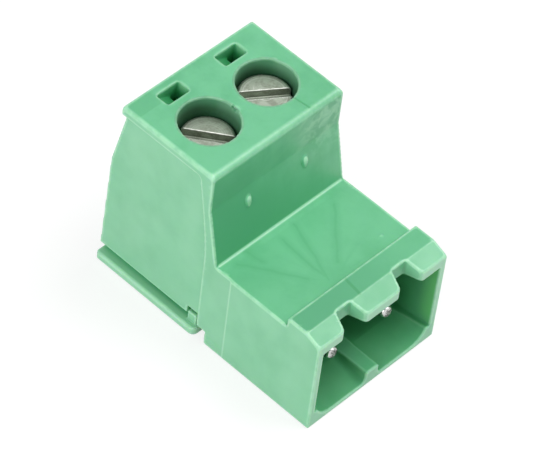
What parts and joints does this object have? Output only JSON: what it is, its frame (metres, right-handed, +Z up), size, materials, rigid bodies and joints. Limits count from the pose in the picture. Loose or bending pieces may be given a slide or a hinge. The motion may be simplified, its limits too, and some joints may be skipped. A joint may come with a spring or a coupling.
{
  "type": "pluggable screw terminal block",
  "caption": "Two-pole green plug with contact pins in a keyed shroud, slotted clamp screws in a tall head, rising wire clamps and a snap-in base cover.",
  "frame": {"origin": "middle of the footprint, on the plane that the plug rests on", "axes": "+X across the poles to the right as seen from the mating side, -Y towards the mating half, +Z up along the screws"},
  "size_m": [0.012, 0.0192, 0.015],
  "materials": {
    "green_plastic": "satin moulded polyamide",
    "cover_plastic": "satin moulded polyamide",
    "screw_steel": "dull zinc plating",
    "cage_metal": "nickel plating",
    "tinned_contact": "bright tin plating"
  },
  "bodies": {
    "housing": {"housing": "green_plastic", "base_cover": "cover_plastic", "pin_contact_left": "tinned_contact", "pin_contact_right": "tinned_contact"},
    "screw_left": {"clamp_screw_left": "screw_steel"},
    "screw_right": {"clamp_screw_right": "screw_steel"},
    "cage_left": {"clamp_cage_left": "cage_metal"},
    "cage_right": {"clamp_cage_right": "cage_metal"}
  },
  "joints": [
    {"name": "screw_left_turn", "type": "hinge", "parent": "housing", "child": "screw_left", "pos_m": [-0.00254, 0.00405, 0.0125], "axis": [0, 0, -1], "range_deg": [0, 1800]},
    {"name": "cage_left_rise", "type": "slide", "parent": "housing", "child": "cage_left", "axis": [0, 0, 1], "range_m": [0, 0.0025]},
    {"name": "screw_right_turn", "type": "hinge", "parent": "housing", "child": "screw_right", "pos_m": [0.00254, 0.00405, 0.0125], "axis": [0, 0, -1], "range_deg": [0, 1800]},
    {"name": "cage_right_rise", "type": "slide", "parent": "housing", "child": "cage_right", "axis": [0, 0, 1], "range_m": [0, 0.0025]}
  ],
  "couplings": [
    {"joint": "screw_left_turn", "follows": "cage_left_rise", "rad_per_m": 12566},
    {"joint": "screw_right_turn", "follows": "cage_right_rise", "rad_per_m": 12566}
  ]
}
